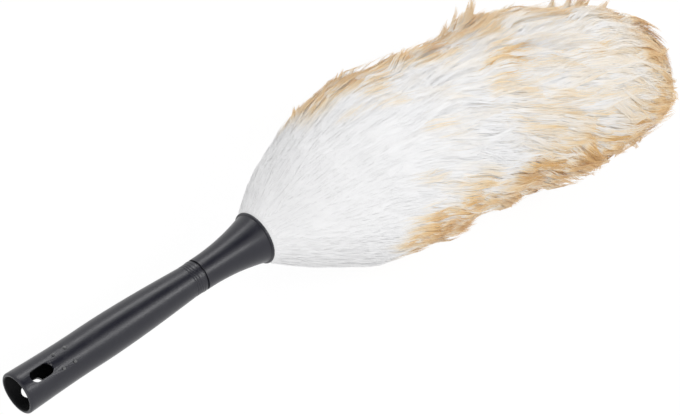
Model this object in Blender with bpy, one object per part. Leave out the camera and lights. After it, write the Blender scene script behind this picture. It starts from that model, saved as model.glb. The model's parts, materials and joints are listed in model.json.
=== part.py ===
"""Lambswool duster: a hollow black handle, and a head of wound sheepskin that pushes into it.

Lengths below are in millimetres and MM turns them into metres. X runs along the handle from its open
mouth to the tip of the wool, and Z runs through the handle's hanging slot. The origin is the face
inside the handle where an extension pole stops.
"""

import math

import bmesh
import bpy
from mathutils import Matrix, Vector

MM = 0.001

# Facets round a turned piece, and clearances
ROUND_STEPS = 36
SMALL_STEPS = 16
FLEECE_STEPS = 36
SEAT_GAP = 0.3
CUT_MARGIN = 4.0

# Handle: lengths are measured from its mouth
HANDLE_LENGTH = 164.0
FRONT_SOCKET_DEPTH = 51.0
STOP_WEB = 3.0
MOUTH_D = 32.1
MOUTH_WALL = 2.9
MOUTH_TAPER = -0.031
SOCKET_DRAFT = math.radians(0.6)
WAIST_D = 29.8
WAIST_AT = 52.0
SWELL_D = 30.3
SWELL_AT = 72.0
COLLAR_LENGTH = 10.0
COLLAR_WALL = 2.55
COLLAR_TAPER = -0.06
RING_COUNT = 3
RING_PITCH = 2.0
RING_WIDTH = 1.0
RING_DEPTH = 0.25
RIM_STEP = 0.25
RIM_LENGTH = 2.2

# Slot through both walls, and the four pips in front of it
SLOT_LENGTH = 19.0
SLOT_WIDTH = 9.5
SLOT_AT = 18.1
PIP_D = 2.4
PIP_RISE = 0.5
PIP_AT = 38.3
PIP_SPACING = 10.0
PIP_ANGLE = math.radians(23.5)

# Core rod
ROD_D = 12.0
ROD_END_ROUND = 1.5
ROD_END_ARC = (60.0, 0.0)

# Neck: the spigot goes into the handle, the cup holds the base of the wool
SPIGOT_WALL = 2.9
SPIGOT_END_ROOM = 12.5
SPIGOT_CHAMFER = 1.0
SCREW_WELL_D = 13.0
SCREW_WELL_DEPTH = 5.5
SPIGOT_WEB = 3.0
SEAM_GROOVE = 1.2
SEAM_GROOVE_DEPTH = 1.3
FLARE_START = 3.0
FLARE_POWER = 2.05
NECK_LENGTH = 56.5
LIP_D = 41.5
LIP_ROUND = 1.1
LIP_ARC = (140.0, -50.0)
NECK_WALL = 1.8
CUP_DEPTH = 42.0
BOSS_WALL = 2.2
BOSS_RISE = 18.0

# Screw and washer behind the rod
SCREW_D = 3.8
SCREW_GRIP = 20.0
SCREW_HEAD_D = 7.5
SCREW_HEAD = 2.2
WASHER_D = 11.0
WASHER_THICK = 0.8

# Sheepskin strip wound on the rod, and its two tacks
HIDE = 2.4
STRIP_WIDTH = 30.0
STRIP_SPACING = 1.0
STRIP_HALF_TURNS = 21
STRIP_STEPS = 18
TACK_SET_BACK = math.radians(18.0)
TACK_HEAD_D = 6.0
TACK_HEAD = 0.7
TACK_SINK = 0.9
TACK_D = 1.6
TACK_LENGTH = 4.8
ROD_PAST_STRIP = 5.0

# Wool, measured from the neck's lip
WOOL_LENGTH = 391.0
WOOL_R = 71.0
WOOL_RISE = 128.0
WOOL_FLARE = math.radians(37.0)
WOOL_END = 112.0
WOOL_RINGS = 50
BORE_RINGS = 16
TURN_RELIEF = 2.2
LOCK_COUNT = 9
LOCK_REACH = 0.3
REST_DROP = 67.5
END_POINT = 0.57

# Tufts and hollows of the wool: share along it, degrees round, half length as a share of the wool,
# half turn in degrees, and how far out
SWELLS = (
    (0.150, 12.0, 0.080, 48.0, -2.6),
    (0.322, 12.0, 0.048, 40.0, 2.8),
    (0.520, 12.0, 0.040, 38.0, -4.0),
    (0.655, 12.0, 0.075, 44.0, 9.0),
    (0.790, 20.0, 0.042, 38.0, -7.0),
    (0.868, 14.0, 0.036, 36.0, -3.0),
    (0.925, 30.0, 0.045, 50.0, 3.0),
    (0.190, 190.0, 0.070, 44.0, 3.0),
    (0.358, 190.0, 0.045, 36.0, 3.6),
    (0.446, 188.0, 0.040, 34.0, -5.0),
    (0.500, 186.0, 0.036, 34.0, 2.4),
    (0.545, 186.0, 0.034, 34.0, -3.0),
    (0.700, 184.0, 0.060, 38.0, 2.4),
    (0.792, 184.0, 0.036, 36.0, -7.0),
    (0.905, 176.0, 0.060, 46.0, 5.0),
    (0.450, 62.0, 0.055, 28.0, 2.2),
    (0.575, 80.0, 0.050, 26.0, 2.6),
    (0.420, 128.0, 0.055, 30.0, 2.0),
    (0.640, 134.0, 0.055, 28.0, 2.6),
    (0.300, 300.0, 0.060, 34.0, 3.0),
    (0.430, 332.0, 0.050, 30.0, 3.4),
    (0.560, 300.0, 0.050, 30.0, -3.0),
    (0.700, 326.0, 0.055, 30.0, 3.6),
    (0.330, 224.0, 0.055, 28.0, 2.6),
    (0.600, 222.0, 0.055, 28.0, 2.8),
)

# The head leans to one side: the way, how far its tip lies off the axis, and the slope there
LEAN_SIDE = Vector((0.0, -0.98, -0.2)).normalized()
TIP_LEAN = 53.5
TIP_SLOPE = 0.24

# Places along X that follow from the sizes
POLE_SOCKET_DEPTH = HANDLE_LENGTH - FRONT_SOCKET_DEPTH - STOP_WEB
MOUTH_X = -POLE_SOCKET_DEPTH
COLLAR_AT = HANDLE_LENGTH - COLLAR_LENGTH
MOUTH_ROUND = MOUTH_WALL / 2
HANDLE_FRONT = MOUTH_X + HANDLE_LENGTH
NECK_BACK = HANDLE_FRONT + SEAT_GAP
NECK_FRONT = HANDLE_FRONT + NECK_LENGTH
ROD_BORE_D = ROD_D + 2 * SEAT_GAP
SPIGOT_D = ROD_BORE_D + 2 * SPIGOT_WALL
FRONT_SOCKET_D = SPIGOT_D + 2 * SEAT_GAP
COLLAR_D = FRONT_SOCKET_D + 2 * COLLAR_WALL
SPIGOT_BACK = HANDLE_FRONT - FRONT_SOCKET_DEPTH + SPIGOT_END_ROOM
WEB_BACK = SPIGOT_BACK + SCREW_WELL_DEPTH
ROD_BACK = WEB_BACK + SPIGOT_WEB + SEAT_GAP
BOSS_D = ROD_BORE_D + 2 * BOSS_WALL
CUP_BACK = NECK_FRONT - CUP_DEPTH
BOSS_FRONT = CUP_BACK + BOSS_RISE
STRIP_BACK = BOSS_FRONT + 2 * SEAT_GAP
STRIP_PITCH = STRIP_WIDTH + STRIP_SPACING
STRIP_ANGLE = STRIP_HALF_TURNS * math.pi + 2 * TACK_SET_BACK
STRIP_FRONT = STRIP_BACK + STRIP_WIDTH + STRIP_PITCH * STRIP_ANGLE / math.tau
ROD_FRONT = STRIP_FRONT + ROD_PAST_STRIP
STRIP_IN_R = ROD_D / 2 + SEAT_GAP
STRIP_OUT_R = STRIP_IN_R + HIDE
WOOL_BORE_R = max(STRIP_OUT_R, BOSS_D / 2) + SEAT_GAP + 0.1
SCREW_HOLE_D = SCREW_D + 2 * SEAT_GAP
TIP_X = NECK_FRONT + WOOL_LENGTH


def smooth_step(start, start_slope, end, end_slope, length, at):
    """Value at a distance along a cubic curve that has the given ends and end slopes."""
    t = at / length
    return (
        start * (2 * t**3 - 3 * t**2 + 1)
        + start_slope * length * (t**3 - 2 * t**2 + t)
        + end * (3 * t**2 - 2 * t**3)
        + end_slope * length * (t**3 - t**2)
    )


def lean_at(x):
    """How far the head's centre line lies off the handle's axis at x."""
    if x <= NECK_FRONT:
        return 0.0
    return smooth_step(0.0, 0.0, TIP_LEAN, TIP_SLOPE, TIP_X - NECK_FRONT, x - NECK_FRONT)


def material(name, colour, roughness, metallic=0.0):
    made = bpy.data.materials.new(name)
    made.use_nodes = True
    shader = made.node_tree.nodes["Principled BSDF"]
    shader.inputs["Base Color"].default_value = (*colour, 1.0)
    shader.inputs["Roughness"].default_value = roughness
    shader.inputs["Metallic"].default_value = metallic
    made.diffuse_color = (*colour, 1.0)
    return made


def ring(x, radius, steps):
    """Points of a circle about the X axis, or its centre where the radius is nothing."""
    if radius == 0.0:
        return [Vector((x, 0.0, 0.0))]
    turns = [math.tau * step / steps for step in range(steps)]
    return [Vector((x, radius * math.cos(a), radius * math.sin(a))) for a in turns]


def skin(name, rings, finish, wrap=False):
    """A closed body through rings of points. One-point rings close its ends, or it wraps round."""
    mesh = bmesh.new()
    rows = [[mesh.verts.new(point * MM) for point in points] for points in rings]
    pairs = list(zip(rows, rows[1:]))
    if wrap:
        pairs.append((rows[-1], rows[0]))
    for row, following in pairs:
        steps = max(len(row), len(following))
        for step in range(steps):
            ahead = (step + 1) % steps
            corners = [row[step % len(row)], row[ahead % len(row)]]
            corners += [following[ahead % len(following)], following[step % len(following)]]
            mesh.faces.new(list(dict.fromkeys(corners)))
    return finished(name, mesh, finish)


def finished(name, mesh, finish):
    """An object in the scene from a bmesh, shaded smooth but for its corners."""
    bmesh.ops.recalc_face_normals(mesh, faces=mesh.faces)
    data = bpy.data.meshes.new(name)
    mesh.to_mesh(data)
    mesh.free()
    data.shade_smooth()
    data.set_sharp_from_angle(angle=math.radians(38))
    made = bpy.data.objects.new(name, data)
    if finish:
        data.materials.append(finish)
    bpy.context.collection.objects.link(made)
    return made


def turned(name, profile, finish, steps=ROUND_STEPS, wrap=False):
    """A body turned about X from (x, radius) points."""
    return skin(name, [ring(x, radius, steps) for x, radius in profile], finish, wrap)


def leaned(piece):
    """Moves a straight piece sideways onto the head's leaning centre line."""
    for vertex in piece.data.vertices:
        vertex.co += LEAN_SIDE * lean_at(vertex.co.x / MM) * MM
    piece.data.update()
    return piece


def aimed(piece, place, direction):
    """Turns a piece made along X to a direction, with its start at a place."""
    turn = Vector((1.0, 0.0, 0.0)).rotation_difference(direction).to_matrix().to_4x4()
    piece.data.transform(Matrix.Translation(place * MM) @ turn)
    return piece


def boolean(piece, other, operation):
    """Cuts or joins with a helper body, which itself is left out of the model."""
    other.hide_render = True
    other.display_type = "WIRE"
    change = piece.modifiers.new(other.name, "BOOLEAN")
    change.operation = operation
    change.object = other


def arc(centre_x, centre_r, radius, start, end, count):
    """Profile points on a round corner, angles in degrees from +X towards larger radius."""
    angles = [math.radians(start + (end - start) * i / (count - 1)) for i in range(count)]
    return [(centre_x + radius * math.cos(a), centre_r + radius * math.sin(a)) for a in angles]


def handle_radius(at):
    """Outer radius of the handle at a distance from its mouth, up to the collar."""
    if at <= WAIST_AT:
        return smooth_step(MOUTH_D / 2, MOUTH_TAPER, WAIST_D / 2, 0.0, WAIST_AT, at)
    if at <= SWELL_AT:
        return smooth_step(WAIST_D / 2, 0.0, SWELL_D / 2, 0.0, SWELL_AT - WAIST_AT, at - WAIST_AT)
    reach = COLLAR_AT - SWELL_AT
    return smooth_step(SWELL_D / 2, 0.0, COLLAR_D / 2, COLLAR_TAPER, reach, at - SWELL_AT)


def collar_profile():
    """Fine rings turned into the collar, then the slightly larger rim."""
    points = []
    for index in range(RING_COUNT):
        start = MOUTH_X + COLLAR_AT + RING_WIDTH / 2 + index * RING_PITCH
        points.append((start, COLLAR_D / 2))
        points.append((start + RING_WIDTH / 2, COLLAR_D / 2 - RING_DEPTH))
        points.append((start + RING_WIDTH, COLLAR_D / 2))
    rim_r = COLLAR_D / 2 + RIM_STEP
    rim_back = HANDLE_FRONT - RIM_LENGTH
    points.append((rim_back - RIM_STEP, COLLAR_D / 2))
    points.append((rim_back, rim_r))
    points.append((HANDLE_FRONT - RIM_STEP, rim_r))
    points.append((HANDLE_FRONT, rim_r - RIM_STEP))
    return points


def socket_radius(at):
    """Inner radius of the pole socket, which narrows inwards by the mould's draft."""
    return MOUTH_D / 2 - MOUTH_WALL - at * math.tan(SOCKET_DRAFT)


def make_grip_tube(finish):
    """The moulded handle: a pole socket and a spigot socket, with a web between them."""
    web_front = MOUTH_X + POLE_SOCKET_DEPTH + STOP_WEB
    socket_r = FRONT_SOCKET_D / 2
    profile = [(web_front, 0.0), (web_front, socket_r)]
    profile.append((HANDLE_FRONT - SEAM_GROOVE_DEPTH / 2, socket_r))
    profile.append((HANDLE_FRONT, socket_r + SEAM_GROOVE_DEPTH / 4))
    profile += reversed(collar_profile())
    stations = 14
    for index in range(stations, 0, -1):
        at = MOUTH_ROUND + (COLLAR_AT - MOUTH_ROUND) * index / stations
        profile.append((MOUTH_X + at, handle_radius(at)))
    rounded_r = handle_radius(MOUTH_ROUND)
    profile += arc(MOUTH_X + MOUTH_ROUND, rounded_r - MOUTH_ROUND, MOUTH_ROUND, 90, 180, 4)
    profile += arc(MOUTH_X + MOUTH_ROUND, socket_radius(0) + MOUTH_ROUND, MOUTH_ROUND, 180, 270, 4)
    profile += [(0.0, socket_radius(POLE_SOCKET_DEPTH)), (0.0, 0.0)]
    tube = turned("grip_tube", profile, finish)
    boolean(tube, make_slot_cutter(), "DIFFERENCE")
    for name, spot in pip_places():
        boolean(tube, make_pip(name, spot), "UNION")
    return tube


def make_slot_cutter():
    """A long round-ended block through both walls of the handle."""
    half_run = (SLOT_LENGTH - SLOT_WIDTH) / 2
    end_r = SLOT_WIDTH / 2
    outline = []
    for side, first in ((1, -90), (-1, 90)):
        for x, y in arc(side * half_run, 0.0, end_r, first, first + 180, 9):
            outline.append(Vector((MOUTH_X + SLOT_AT + x, y, 0.0)))
    half_depth = Vector((0.0, 0.0, MOUTH_D / 2 + CUT_MARGIN))
    mesh = bmesh.new()
    low = mesh.faces.new([mesh.verts.new((point - half_depth) * MM) for point in outline])
    grown = bmesh.ops.extrude_face_region(mesh, geom=[low])["geom"]
    risen = [item for item in grown if isinstance(item, bmesh.types.BMVert)]
    bmesh.ops.translate(mesh, verts=risen, vec=half_depth * 2 * MM)
    return finished("slot_cutter", mesh, None)


def pip_places():
    """Names and surface points of the four pips, two each side of the slot's line."""
    for along in (-1, 1):
        at = PIP_AT + along * PIP_SPACING / 2
        radius = handle_radius(at)
        for around in (-1, 1):
            angle = math.pi / 2 + around * PIP_ANGLE
            spot = (MOUTH_X + at, radius * math.cos(angle), radius * math.sin(angle))
            yield f"pip_{along + 1}{around + 1}", Vector(spot)


def make_pip(name, spot):
    """A low dome whose foot is sunk in the handle's wall."""
    outward = Vector((0.0, spot.y, spot.z)).normalized()
    dome = [(-PIP_RISE, 0.0), (-PIP_RISE, PIP_D / 2), (0.0, PIP_D / 2)]
    dome += [(PIP_RISE * 0.7, PIP_D / 2 * 0.7), (PIP_RISE, 0.0)]
    return aimed(turned(name, dome, None, steps=10), spot, outward)


def neck_radius(x):
    """Outer radius of the neck, straight at first and then flaring like a trumpet."""
    start_r = COLLAR_D / 2 + RIM_STEP
    end_r = LIP_D / 2 - LIP_ROUND
    run = NECK_LENGTH - FLARE_START - LIP_ROUND
    along = max(0.0, x - HANDLE_FRONT - FLARE_START) / run
    return start_r + (end_r - start_r) * along**FLARE_POWER


def cup_radius(x):
    """Inner radius of the cup that the wool is tucked into."""
    return neck_radius(x) - NECK_WALL


def make_flared_neck(finish):
    """Spigot, shadow groove, trumpet and lip outside; rod bore, boss and cup inside."""
    spigot_r = SPIGOT_D / 2
    groove_r = COLLAR_D / 2 + RIM_STEP - SEAM_GROOVE_DEPTH
    body_back = NECK_BACK + SEAM_GROOVE
    lip_x = NECK_FRONT - LIP_ROUND
    profile = [(WEB_BACK, SCREW_HOLE_D / 2), (WEB_BACK, SCREW_WELL_D / 2)]
    profile += [(SPIGOT_BACK, SCREW_WELL_D / 2), (SPIGOT_BACK, spigot_r - SPIGOT_CHAMFER)]
    profile += [(SPIGOT_BACK + SPIGOT_CHAMFER, spigot_r), (NECK_BACK, spigot_r)]
    profile += [(NECK_BACK, groove_r), (body_back, groove_r)]
    profile += [(body_back, neck_radius(body_back) - RIM_STEP)]
    stations = 12
    for index in range(stations):
        x = body_back + RIM_STEP + (lip_x - LIP_ROUND - body_back - RIM_STEP) * index / (stations - 1)
        profile.append((x, neck_radius(x)))
    profile += arc(lip_x, LIP_D / 2 - LIP_ROUND, LIP_ROUND, *LIP_ARC, 7)
    for index in range(stations - 2):
        x = lip_x - (lip_x - CUP_BACK) * index / (stations - 3)
        profile.append((x, cup_radius(x)))
    profile += [(CUP_BACK, BOSS_D / 2), (BOSS_FRONT, BOSS_D / 2), (BOSS_FRONT, ROD_BORE_D / 2)]
    profile += [(WEB_BACK + SPIGOT_WEB, ROD_BORE_D / 2), (WEB_BACK + SPIGOT_WEB, SCREW_HOLE_D / 2)]
    return turned("flared_neck", profile, finish, wrap=True)


def make_core_rod(finish):
    """The rod: a screw hole in its rear end, and straight until it leaves the neck."""
    hole_front = ROD_BACK + SCREW_GRIP + SEAT_GAP
    radius = ROD_D / 2
    profile = [(hole_front, 0.0), (hole_front, SCREW_HOLE_D / 2), (ROD_BACK, SCREW_HOLE_D / 2)]
    profile += [(ROD_BACK, radius), (NECK_FRONT, radius)]
    stations = 18
    for index in range(1, stations + 1):
        x = NECK_FRONT + (ROD_FRONT - ROD_END_ROUND - NECK_FRONT) * index / stations
        profile.append((x, radius))
    profile += arc(ROD_FRONT - ROD_END_ROUND, radius - ROD_END_ROUND, ROD_END_ROUND, *ROD_END_ARC, 3)
    profile.append((ROD_FRONT, 0.0))
    rod = leaned(turned("core_rod", profile, finish, steps=SMALL_STEPS))
    for name, x, side in tack_places():
        hole = tack_hole(f"{name}_rod_hole", x, side, recess=False)
        boolean(rod, hole, "DIFFERENCE")
    return rod


def make_core_screw(finish):
    """A pan-headed screw from the well behind the spigot's web into the rod."""
    washer_back = WEB_BACK - SEAT_GAP - WASHER_THICK
    head_front = washer_back - SEAT_GAP
    head_back = head_front - SCREW_HEAD
    head_r = SCREW_HEAD_D / 2
    shank_r = SCREW_D / 2
    tip = ROD_BACK + SCREW_GRIP
    profile = [(head_back, 0.0), (head_back, head_r * 0.6), (head_back + SCREW_HEAD * 0.4, head_r)]
    profile += [(head_front, head_r), (head_front, shank_r), (tip - SCREW_D / 2, shank_r), (tip, 0.0)]
    screw = turned("core_screw", profile, finish, steps=SMALL_STEPS)
    slot = bmesh.new()
    bmesh.ops.create_cube(slot, size=1.0)
    size = Vector((SCREW_HEAD, SCREW_HEAD_D * 0.16, SCREW_HEAD_D * 1.2)) * MM
    bmesh.ops.scale(slot, verts=slot.verts, vec=size)
    bmesh.ops.translate(slot, verts=slot.verts, vec=Vector((head_back, 0.0, 0.0)) * MM)
    boolean(screw, finished("screw_slot", slot, None), "DIFFERENCE")
    return screw


def make_core_washer(finish):
    back = WEB_BACK - SEAT_GAP - WASHER_THICK
    front = WEB_BACK - SEAT_GAP
    bore, outer = SCREW_HOLE_D / 2, WASHER_D / 2
    corners = [(back, bore), (back, outer), (front, outer), (front, bore)]
    return turned("core_washer", corners, finish, steps=SMALL_STEPS, wrap=True)


def strip_point(angle, radius, across):
    """A point of the wound strip: across runs from its rear edge, 0, to its front edge, 1."""
    x = STRIP_BACK + STRIP_PITCH * angle / math.tau + STRIP_WIDTH * across
    side = Matrix.Rotation(angle - TACK_SET_BACK, 3, "X") @ LEAN_SIDE
    return Vector((x, 0.0, 0.0)) + side * radius


def make_hide_strip(finish):
    """One strip of skin wound round the rod as an open helix."""
    steps = round(STRIP_STEPS * STRIP_ANGLE / math.tau)
    corners = ((STRIP_IN_R, 0.0), (STRIP_OUT_R, 0.0), (STRIP_OUT_R, 1.0), (STRIP_IN_R, 1.0))
    sections = []
    for step in range(steps + 1):
        angle = STRIP_ANGLE * step / steps
        sections.append([strip_point(angle, radius, across) for radius, across in corners])
    rear = [section[1] for section in sections]
    front = [section[2] for section in sections]
    print(f"least gap between turns of the strip: {least_gap(front, rear, steps):.2f} mm")
    ends = [sum(section, Vector()) / 4 for section in (sections[0], sections[-1])]
    strip = leaned(skin("hide_strip", [[ends[0]], *sections, [ends[1]]], finish))
    for name, x, side in tack_places():
        boolean(strip, tack_hole(f"{name}_strip_hole", x, side, recess=True), "DIFFERENCE")
    return strip


def least_gap(front, rear, steps):
    """Smallest distance from the strip's front edge to the rear edge of its next turn."""
    per_turn = round(steps * math.tau / STRIP_ANGLE)
    gaps = []
    for index in range(len(front) - per_turn - 2):
        near = rear[index + per_turn - 2 : index + per_turn + 3]
        gaps += [(front[index] - point).length for point in near]
    return min(gaps)


def tack_places():
    """Name, place along X and side of the tack at each end of the strip."""
    middle = STRIP_WIDTH / 2
    step = STRIP_PITCH * TACK_SET_BACK / math.tau
    far_side = LEAN_SIDE * (-1) ** STRIP_HALF_TURNS
    yield "base_tack", STRIP_BACK + middle + step, LEAN_SIDE
    yield "tip_tack", STRIP_FRONT - middle - step, far_side


def tack_profile(spare):
    """Half outline of a tack along its axis, from its point to its head, grown by the spare room."""
    head_back = STRIP_OUT_R - TACK_SINK - TACK_HEAD - spare
    point = head_back + spare - TACK_LENGTH - spare
    return head_back, point, TACK_D / 2 + spare, TACK_HEAD_D / 2 + spare


def tack_hole(name, x, side, recess):
    """Cutter for a tack's shank, and for its head where there is a recess."""
    head_back, point, shank_r, head_r = tack_profile(SEAT_GAP)
    top = STRIP_OUT_R + CUT_MARGIN
    profile = [(point, 0.0), (point, shank_r)]
    if recess:
        profile += [(head_back, shank_r), (head_back, head_r), (top, head_r), (top, 0.0)]
    else:
        profile += [(top, shank_r), (top, 0.0)]
    cutter = turned(name, profile, None, steps=SMALL_STEPS)
    return leaned(aimed(cutter, Vector((x, 0.0, 0.0)), side))


def make_tack(name, x, side, finish):
    """A short flat-headed tack, driven through the strip into the rod."""
    head_back, point, shank_r, head_r = tack_profile(0.0)
    head_front = head_back + TACK_HEAD
    profile = [(point, 0.0), (point + TACK_D, shank_r), (head_back, shank_r)]
    profile += [(head_back, head_r), (head_front, head_r), (head_front, 0.0)]
    tack = turned(name, profile, finish, steps=SMALL_STEPS)
    return leaned(aimed(tack, Vector((x, 0.0, 0.0)), side))


def wool_radius(x):
    """Outline of the wool: a flare out of the neck, a long body and a round end."""
    at = x - NECK_FRONT
    base_r = LIP_D / 2
    power = math.tan(WOOL_FLARE) * WOOL_RISE / (WOOL_R - base_r)
    if at < WOOL_RISE:
        return base_r + (WOOL_R - base_r) * (1 - (1 - at / WOOL_RISE) ** power)
    end = max(0.0, at - (WOOL_LENGTH - WOOL_END)) / WOOL_END
    return WOOL_R * max(0.0, 1 - end**2) ** END_POINT


def wool_relief(x, angle):
    """Rise and fall of the wool over the turns of the strip, whose locks overlap like shingles."""
    scallop = abs(math.sin(LOCK_COUNT * angle / 2)) * LOCK_REACH
    phase = ((x - STRIP_BACK) / STRIP_PITCH - angle / math.tau - scallop) % 1.0
    fade = min(1.0, (x - NECK_FRONT) / WOOL_RISE, (TIP_X - x) / WOOL_END)
    return TURN_RELIEF * fade * (phase - 0.5)


def wool_swell(x, angle):
    """Height of the tufts and hollows over the wool's plain outline."""
    at = (x - NECK_FRONT) / WOOL_LENGTH
    height = 0.0
    for share, turn, half_length, half_turn, out in SWELLS:
        off = (math.degrees(angle) - turn + 180.0) % 360.0 - 180.0
        away = min(1.0, math.hypot((at - share) / half_length, off / half_turn))
        height += out * (1 + math.cos(math.pi * away)) / 2
    return height


def make_fleece(finish):
    """The wool as one body: a plug in the neck's cup, and the full head round the wound strip."""
    plug_back = BOSS_FRONT - BOSS_RISE / 2
    bore_front = ROD_FRONT + 2 * SEAT_GAP
    rings = [ring(bore_front, 0.0, FLEECE_STEPS)]
    for index in range(BORE_RINGS, -1, -1):
        x = plug_back + (bore_front - plug_back) * index / BORE_RINGS
        rings.append(ring(x, WOOL_BORE_R, FLEECE_STEPS))
    plug_front = NECK_FRONT - LIP_ROUND
    for index in range(4):
        x = plug_back + (plug_front - plug_back) * index / 3
        rings.append(ring(x, cup_radius(x) - 2 * SEAT_GAP, FLEECE_STEPS))
    rings.append(ring(NECK_FRONT + SEAT_GAP, cup_radius(plug_front) - SEAT_GAP, FLEECE_STEPS))
    wool_back = NECK_FRONT + 2 * SEAT_GAP
    for index in range(WOOL_RINGS):
        x = wool_back + (TIP_X - wool_back) * wool_station(index / WOOL_RINGS)
        row = []
        for point in ring(x, 1.0, FLEECE_STEPS):
            angle = math.atan2(point.z, point.y)
            reach = wool_radius(x) + wool_relief(x, angle) + wool_swell(x, angle)
            row.append(Vector((x, point.y * reach, point.z * reach)))
        rings.append(row)
    rings.append(ring(TIP_X, 0.0, FLEECE_STEPS))
    fleece = leaned(skin("fleece", rings, finish))
    for vertex in fleece.data.vertices:
        vertex.co.z = max(vertex.co.z, -REST_DROP * MM)
    return fleece


def wool_station(share):
    """Places the wool's rings closer together towards its round end."""
    return math.sin(share * math.pi / 2) ** 1.15


def main():
    for old in list(bpy.data.objects):
        bpy.data.objects.remove(old)
    black = material("black_plastic", (0.045, 0.047, 0.052), 0.38)
    natural = material("natural_plastic", (0.78, 0.76, 0.70), 0.5)
    steel = material("zinc_steel", (0.62, 0.62, 0.60), 0.35, 1.0)
    hide = material("sheepskin", (0.80, 0.70, 0.55), 0.8)
    wool = material("lambswool", (0.93, 0.90, 0.85), 0.95)

    make_grip_tube(black)
    head = [
        make_flared_neck(black),
        make_core_rod(natural),
        make_core_screw(steel),
        make_core_washer(steel),
        make_hide_strip(hide),
        *[make_tack(name, x, side, steel) for name, x, side in tack_places()],
        make_fleece(wool),
    ]
    seam = bpy.data.objects.new("head_release", None)
    seam.location = (HANDLE_FRONT * MM, 0.0, 0.0)
    bpy.context.collection.objects.link(seam)
    bpy.context.view_layer.update()
    for piece in head:
        piece.parent = seam
        piece.matrix_parent_inverse = seam.matrix_world.inverted()


main()
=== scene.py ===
"""Looks of the lambswool duster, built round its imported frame.

The black handle and neck are the frame's own solids turned finer. The wool is an undercoat with locks of
fibres combed over it by Geometry Nodes. X runs from the handle's mouth to the tip of the wool, in metres.
"""

import json
import math

import bmesh
import bpy
import numpy as np
from mathutils import Matrix, Vector
from mathutils.bvhtree import BVHTree

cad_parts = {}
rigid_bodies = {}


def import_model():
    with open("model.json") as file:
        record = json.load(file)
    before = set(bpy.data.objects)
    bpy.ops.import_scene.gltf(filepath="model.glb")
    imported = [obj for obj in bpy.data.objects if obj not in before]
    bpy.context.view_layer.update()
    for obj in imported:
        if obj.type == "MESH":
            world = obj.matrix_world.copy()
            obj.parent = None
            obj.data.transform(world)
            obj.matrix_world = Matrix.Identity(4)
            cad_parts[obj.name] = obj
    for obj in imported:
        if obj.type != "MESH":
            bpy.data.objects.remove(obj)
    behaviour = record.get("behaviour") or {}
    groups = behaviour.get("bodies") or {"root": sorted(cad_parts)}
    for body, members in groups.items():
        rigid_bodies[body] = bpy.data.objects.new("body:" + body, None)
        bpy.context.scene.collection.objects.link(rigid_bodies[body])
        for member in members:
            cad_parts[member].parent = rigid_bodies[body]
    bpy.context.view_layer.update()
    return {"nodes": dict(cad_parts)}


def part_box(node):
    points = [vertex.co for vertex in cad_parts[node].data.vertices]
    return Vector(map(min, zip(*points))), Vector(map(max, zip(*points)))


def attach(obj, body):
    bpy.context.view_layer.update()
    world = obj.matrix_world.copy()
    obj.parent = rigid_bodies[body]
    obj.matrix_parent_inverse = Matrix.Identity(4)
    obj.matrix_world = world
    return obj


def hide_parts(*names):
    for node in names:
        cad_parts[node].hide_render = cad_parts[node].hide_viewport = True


MM = 0.001

# Camera: place, the directions of the picture's right and top, and a lens on a 36 mm wide sensor
CAMERA_PLACE = Vector((-0.87819, -0.38765, 1.82374))
CAMERA_RIGHT = Vector((0.72508, -0.62283, 0.29384))
CAMERA_UP = Vector((0.47944, 0.76284, 0.43384))
CAMERA_LENS = 155.5
CAMERA_SENSOR = 36.0

# Light: the world's on the object, then the floor's colour, how much of it gives way to plain white
# where it is seen directly, that white's strength, and the floor's side in metres
WORLD_LEVEL = 0.49
FLOOR_COLOUR = (0.86, 0.86, 0.86)
FLOOR_WHITE = 0.9
FLOOR_GLOW = 1.04
FLOOR_SIZE = 8.0
# What the lamps are turned to
HEAD_MIDDLE = (0.28, -0.02, 0.0)
HANDLE_MIDDLE = (-0.02, 0.0, 0.0)

# Turning the frame's facets finer: passes, the widest step round X that counts as one facet, and the
# angle from which an edge stays sharp
FINER_PASSES = 2
FACET_STEP = math.radians(24.0)
SHARP_ANGLE = math.radians(32.0)
# How far a face must turn to the axis to belong to a bore, and how much a bore mirrors
BORE_TURN = 0.3
BORE_GLOSS = 0.15

# Pips: place along the handle from its mouth, spacing, angle each way from the top, size, and the steps
# and rings of a dome
PIP_AT = 38.3 * MM
PIP_SPACING = 10.0 * MM
PIP_ANGLE = math.radians(23.5)
PIP_R = 1.25 * MM
PIP_RISE = 0.62 * MM
PIP_STEPS = 20
PIP_RINGS_DEG = (0.0, 20.0, 40.0, 60.0, 78.0)
# A distance from the axis that is well outside the handle, from which a pip's place on it is looked for
OUTSIDE_HANDLE = 0.05

# The head's centre line: the side it leans to, how far its tip lies off the axis, and the slope there
LEAN_SIDE = Vector((0.0, -0.98, -0.2)).normalized()
TIP_LEAN = 53.5 * MM
TIP_SLOPE = 0.24
# How far in front of the neck's lip the wool's chart starts
WOOL_GAP = 1.2 * MM

# Chart of the wool: rows along the head, columns round it, the angle of its upper side, and how the
# rows crowd together towards the round tip, where the last one lies just short of the end
CHART_ROWS = 84
CHART_COLUMNS = 108
TOP_ANGLE = math.radians(101.5)
ROW_CROWDING = 0.92
TIP_CROWDING = 1.1
LAST_ROW = 0.9985
# A distance from the centre line that is well outside the wool, from which its outline is looked for,
# and the least distance of a root: as a share of the outline's, and as a length
OUTSIDE_WOOL = 0.15
LEAST_ROOT_SHARE = 0.25
LEAST_ROOT_R = 0.5 * MM
# Pieces that the locks are grown in, one after another along the head
LOCK_ZONES = 12

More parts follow.
